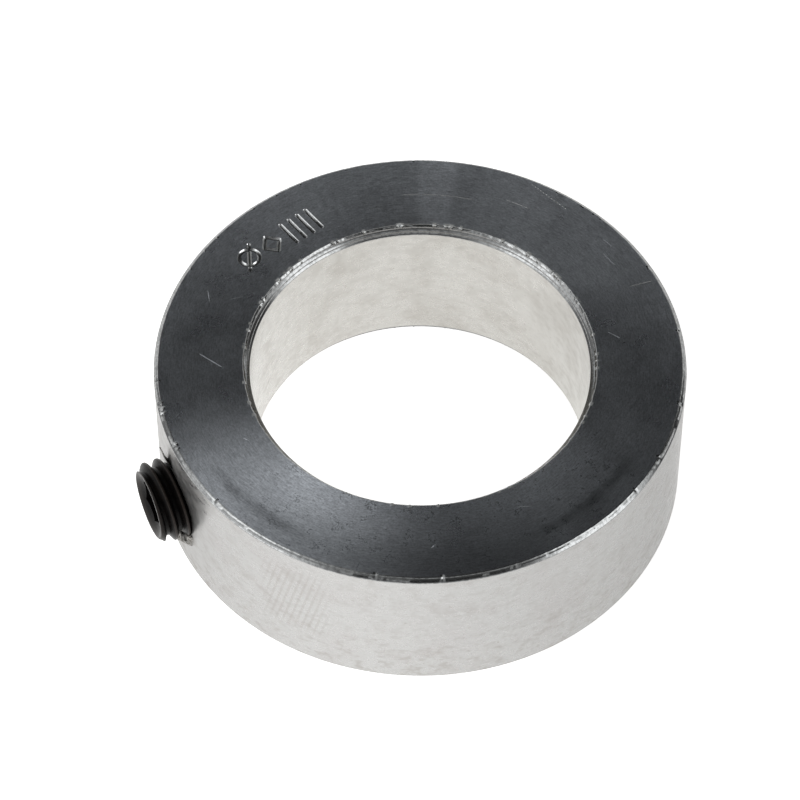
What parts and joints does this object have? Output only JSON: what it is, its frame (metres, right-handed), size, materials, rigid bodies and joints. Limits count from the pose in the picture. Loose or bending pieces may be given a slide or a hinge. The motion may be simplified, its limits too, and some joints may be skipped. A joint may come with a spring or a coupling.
{
  "type": "shaft collar",
  "caption": "Plain turned steel set-screw shaft collar: thick ring with chamfered edges and a radial hexagon-socket set screw that clamps a round shaft.",
  "frame": {"origin": "centre of the bore on the plain (unmarked) face", "axes": "+Z along the bore axis from the plain face to the marked face; the set screw's axis lies along -Y at half the width, and its socket faces -Y"},
  "size_m": [0.05, 0.0527, 0.016],
  "materials": {
    "zinc_plated_steel": "bright turned steel with fine concentric tool lines on the faces, thin clear zinc plating, light smudges and scratches",
    "black_oxide_steel": "black oxide, satin, slightly oily, with worn thread crests"
  },
  "bodies": {
    "collar": {"collar_ring": "zinc_plated_steel"},
    "set_screw": {"set_screw": "black_oxide_steel"}
  },
  "joints": [
    {"name": "set_screw_travel", "type": "slide", "parent": "collar", "child": "set_screw", "axis": [0, -1, 0], "range_m": [-0.0025, 0.0025]}
  ]
}
